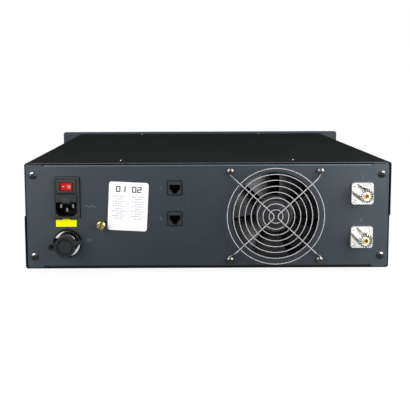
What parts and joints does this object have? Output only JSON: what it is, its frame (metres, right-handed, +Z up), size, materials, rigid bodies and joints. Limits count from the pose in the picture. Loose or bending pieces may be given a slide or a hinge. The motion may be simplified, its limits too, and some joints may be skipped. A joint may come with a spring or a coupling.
{
  "type": "radio repeater",
  "caption": "Rack radio repeater: sheet-metal case with a guarded cooling fan, antenna sockets, mains inlet with rocker switch, data jacks and a front control panel with handles.",
  "frame": {"origin": "on the surface the feet stand on, under the middle of the unit's overall box", "axes": "+X to the right as seen from behind, +Y towards the front panel, +Z up"},
  "size_m": [0.4826, 0.412, 0.1348],
  "materials": {
    "panel_paint": "satin",
    "cover_paint": "matte",
    "galvanised": "satin",
    "nickel": "polished",
    "chrome": "polished",
    "dark_screw": "satin",
    "black_plastic": "matte",
    "red_plastic": "gloss",
    "grey_plastic": "satin",
    "fan_plastic": "matte",
    "rubber": "matte",
    "brass": "satin",
    "gold": "polished",
    "white_insulator": "satin",
    "copper_winding": "satin",
    "fuse_glass": "clear",
    "display_glass": "gloss",
    "light_lens": "gloss",
    "board": "satin",
    "aluminium": "satin",
    "speaker_black": "matte"
  },
  "bodies": {
    "case": {"rear_panel": "panel_paint", "front_subframe": "galvanised", "side_rail_left": "galvanised", "side_rail_right": "galvanised", "top_cover": "cover_paint", "bottom_tray": "cover_paint", "feet": "rubber", "rear_panel_screws": "nickel", "cover_screws": "dark_screw", "inlet_body": "black_plastic", "switch_frame": "black_plastic", "inlet_pins": "nickel", "dc_socket": "chrome", "dc_insert": "black_plastic", "ground_post": "brass", "panel_nuts": "nickel", "data_jack_upper": "black_plastic", "data_jack_lower": "black_plastic", "jack_contacts": "gold", "fan_frame": "black_plastic", "fan_stator": "copper_winding", "fan_bearing": "brass", "finger_guard": "chrome", "fan_screws": "nickel", "antenna_socket_upper": "nickel", "antenna_socket_lower": "nickel", "antenna_insulators": "white_insulator", "antenna_contacts": "gold", "antenna_screws": "nickel", "front_panel": "panel_paint", "handle_left": "chrome", "handle_right": "chrome", "handle_screws": "galvanised", "display_window": "display_glass", "front_board": "board", "channel_encoder": "galvanised", "volume_control": "galvanised", "status_lights": "light_lens", "microphone_jack": "black_plastic", "speaker": "speaker_black", "power_supply": "aluminium", "transmitter_module": "aluminium", "heat_sink": "aluminium", "receiver_module": "aluminium", "logic_board": "board", "coax_leads": "brass"},
    "fan": {"fan_rotor": "fan_plastic", "fan_shaft": "galvanised"},
    "rocker": {"rocker_switch": "red_plastic"},
    "drawer": {"fuse_drawer": "black_plastic", "fuse": "fuse_glass"},
    "cap": {"dc_cap": "rubber"},
    "channel": {"channel_knob": "black_plastic", "channel_shaft": "galvanised"},
    "volume": {"volume_knob": "black_plastic", "volume_shaft": "galvanised"},
    "left_key": {"key_left": "grey_plastic"},
    "middle_key": {"key_middle": "grey_plastic"},
    "right_key": {"key_right": "grey_plastic"}
  },
  "joints": [
    {"name": "fan_spin", "type": "hinge", "parent": "case", "child": "fan", "pos_m": [0.079, -0.177, 0.0685], "axis": [0, 1, 0], "continuous": true},
    {"name": "rocker_tilt", "type": "hinge", "parent": "case", "child": "rocker", "pos_m": [-0.164, -0.19, 0.1043], "axis": [0, 0, 1], "range_deg": [0, 24]},
    {"name": "drawer_slide", "type": "slide", "parent": "case", "child": "drawer", "axis": [0, -1, 0], "range_m": [0, 0.016]},
    {"name": "cap_pull", "type": "slide", "parent": "case", "child": "cap", "axis": [0, -1, 0], "range_m": [0, 0.012]},
    {"name": "channel_turn", "type": "hinge", "parent": "case", "child": "channel", "pos_m": [-0.075, 0.163, 0.0825], "axis": [0, 1, 0], "continuous": true},
    {"name": "volume_turn", "type": "hinge", "parent": "case", "child": "volume", "pos_m": [-0.13, 0.163, 0.0825], "axis": [0, 1, 0], "range_deg": [-150, 150]},
    {"name": "left_key_push", "type": "slide", "parent": "case", "child": "left_key", "axis": [0, -1, 0], "range_m": [0, 0.001], "stiffness_N_per_m": 600},
    {"name": "middle_key_push", "type": "slide", "parent": "case", "child": "middle_key", "axis": [0, -1, 0], "range_m": [0, 0.001], "stiffness_N_per_m": 600},
    {"name": "right_key_push", "type": "slide", "parent": "case", "child": "right_key", "axis": [0, -1, 0], "range_m": [0, 0.001], "stiffness_N_per_m": 600}
  ]
}
